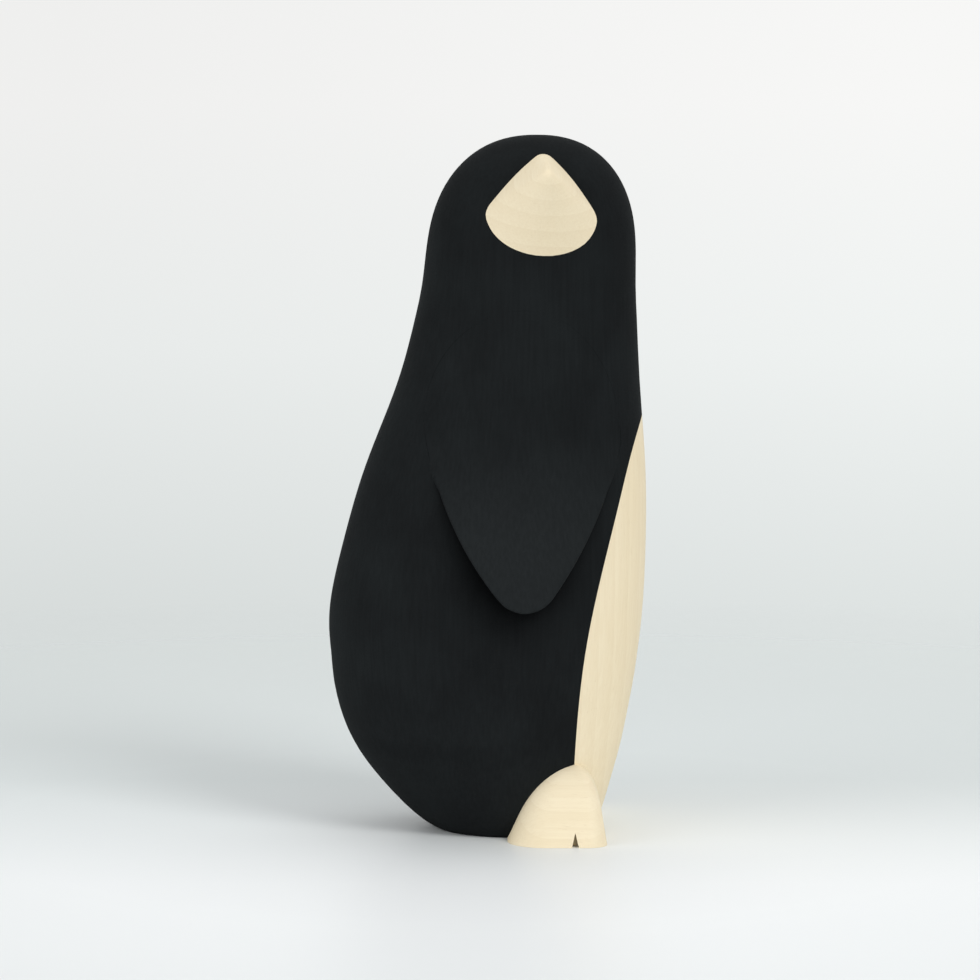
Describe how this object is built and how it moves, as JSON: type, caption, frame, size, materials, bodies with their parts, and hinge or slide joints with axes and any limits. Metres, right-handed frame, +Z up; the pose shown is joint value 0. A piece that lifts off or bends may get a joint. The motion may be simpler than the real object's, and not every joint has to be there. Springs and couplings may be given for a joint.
{
  "type": "penguin figurine",
  "caption": "Standing carved wooden penguin ornament with a turned head, a dark painted coat and a bare wood belly, beak and feet, resting on a flat base.",
  "frame": {"origin": "on the floor under the trunk, in the plane that halves the figure between its wings", "axes": "+Z up, +X the way the belly faces, -Y the figure's right side, to which the head and beak are turned"},
  "size_m": [0.0505, 0.053, 0.11],
  "materials": {
    "painted_wood": "matt charcoal paint on sanded wood",
    "bare_wood": "sanded bare pale wood",
    "dowel_wood": "turned hardwood"
  },
  "bodies": {
    "root": {"body": "painted_wood", "belly": "bare_wood", "beak": "bare_wood", "right_wing": "painted_wood", "left_wing": "painted_wood", "right_foot": "bare_wood", "left_foot": "bare_wood", "wing_dowels": "dowel_wood", "belly_dowels": "dowel_wood", "foot_dowels": "dowel_wood"}
  },
  "joints": []
}
